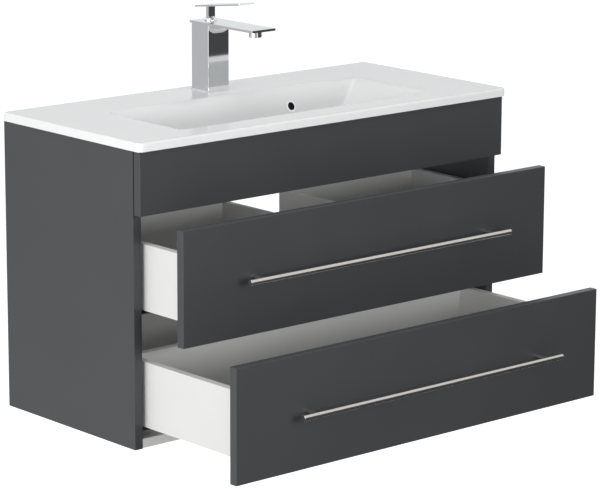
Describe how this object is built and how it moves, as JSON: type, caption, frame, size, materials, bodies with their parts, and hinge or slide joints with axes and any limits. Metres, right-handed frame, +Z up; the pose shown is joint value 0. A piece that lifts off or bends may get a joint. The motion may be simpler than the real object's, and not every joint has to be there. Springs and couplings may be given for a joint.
{
  "type": "bathroom vanity cabinet",
  "caption": "Wall-hung bathroom vanity with a fixed blind, drawers on concealed runners with bar handles, a shallow ceramic inset basin and a square single-lever tap.",
  "frame": {"origin": "centre of the four wall screws, on the wall plane", "axes": "+X to the right seen from the front, +Y into the wall, +Z up"},
  "size_m": [1.01, 0.7885, 0.83],
  "materials": {
    "anthracite_board": "silk-matt lacquered board",
    "white_board": "white melamine-faced board",
    "glazed_ceramic": "white glaze",
    "chrome_plate": "polished chrome plate",
    "satin_steel": "brushed along its length",
    "zinc_steel": "bright zinc plate",
    "silicone": "clear silicone",
    "black_rubber": "moulded",
    "white_plastic": "moulded",
    "grey_plastic": "moulded",
    "brass": "turned",
    "beech": "turned and fluted"
  },
  "bodies": {
    "cabinet": {"aerator": "chrome_plate", "back_panel": "white_board", "basin": "glazed_ceramic", "basin_pads": "silicone", "bottom_panel": "white_board", "cabinet_hanger_left": "zinc_steel", "cabinet_hanger_right": "zinc_steel", "carcass_dowels": "beech", "fascia": "anthracite_board", "fascia_screws": "zinc_steel", "front_rail": "white_board", "hanging_rail": "white_board", "lower_runner_cabinet_left": "zinc_steel", "lower_runner_cabinet_right": "zinc_steel", "overflow_ring": "chrome_plate", "side_panel_left": "anthracite_board", "side_panel_right": "anthracite_board", "spout_plate": "chrome_plate", "tap_base_seal": "silicone", "tap_cartridge": "grey_plastic", "tap_column": "chrome_plate", "tap_nut": "brass", "tap_shank": "brass", "upper_runner_cabinet_left": "zinc_steel", "upper_runner_cabinet_right": "zinc_steel", "wall_plates": "zinc_steel", "waste_body": "chrome_plate", "waste_nut": "white_plastic", "waste_seal": "black_rubber"},
    "upper_drawer": {"pipe_wall_front": "white_board", "pipe_wall_left": "white_board", "pipe_wall_right": "white_board", "upper_back_left": "white_board", "upper_back_right": "white_board", "upper_floor": "white_board", "upper_front": "anthracite_board", "upper_handle_bar": "satin_steel", "upper_handle_posts": "satin_steel", "upper_handle_screws": "zinc_steel", "upper_runner_drawer_left": "zinc_steel", "upper_runner_drawer_right": "zinc_steel", "upper_side_left": "white_board", "upper_side_right": "white_board"},
    "lower_drawer": {"lower_back": "white_board", "lower_floor": "white_board", "lower_front": "anthracite_board", "lower_handle_bar": "satin_steel", "lower_handle_posts": "satin_steel", "lower_handle_screws": "zinc_steel", "lower_runner_drawer_left": "zinc_steel", "lower_runner_drawer_right": "zinc_steel", "lower_side_left": "white_board", "lower_side_right": "white_board"},
    "upper_runners": {"upper_runner_middle_left": "zinc_steel", "upper_runner_middle_right": "zinc_steel"},
    "lower_runners": {"lower_runner_middle_left": "zinc_steel", "lower_runner_middle_right": "zinc_steel"},
    "tap_swivel": {"tap_dome": "chrome_plate"},
    "tap_handle": {"tap_lever": "chrome_plate"},
    "plug": {"waste_plug": "chrome_plate"}
  },
  "joints": [
    {"name": "upper_drawer_slide", "type": "slide", "parent": "cabinet", "child": "upper_drawer", "axis": [0, -1, 0], "range_m": [-0.134, 0.206]},
    {"name": "upper_runner_slide", "type": "slide", "parent": "cabinet", "child": "upper_runners", "axis": [0, -1, 0], "range_m": [-0.067, 0.103]},
    {"name": "lower_drawer_slide", "type": "slide", "parent": "cabinet", "child": "lower_drawer", "axis": [0, -1, 0], "range_m": [-0.294, 0.046]},
    {"name": "lower_runner_slide", "type": "slide", "parent": "cabinet", "child": "lower_runners", "axis": [0, -1, 0], "range_m": [-0.147, 0.023]},
    {"name": "tap_swivel", "type": "hinge", "parent": "cabinet", "child": "tap_swivel", "pos_m": [0, -0.064, 0.22], "axis": [0, 0, 1], "range_deg": [-45, 45]},
    {"name": "tap_lift", "type": "hinge", "parent": "tap_swivel", "child": "tap_handle", "pos_m": [0, -0.064, 0.224], "axis": [-1, 0, 0], "range_deg": [0, 22]},
    {"name": "plug_slide", "type": "slide", "parent": "cabinet", "child": "plug", "axis": [0, 0, 1], "range_m": [0, 0.008]}
  ],
  "couplings": [
    {"joint": "upper_runner_slide", "follows": "upper_drawer_slide", "ratio": 0.5},
    {"joint": "lower_runner_slide", "follows": "lower_drawer_slide", "ratio": 0.5}
  ]
}
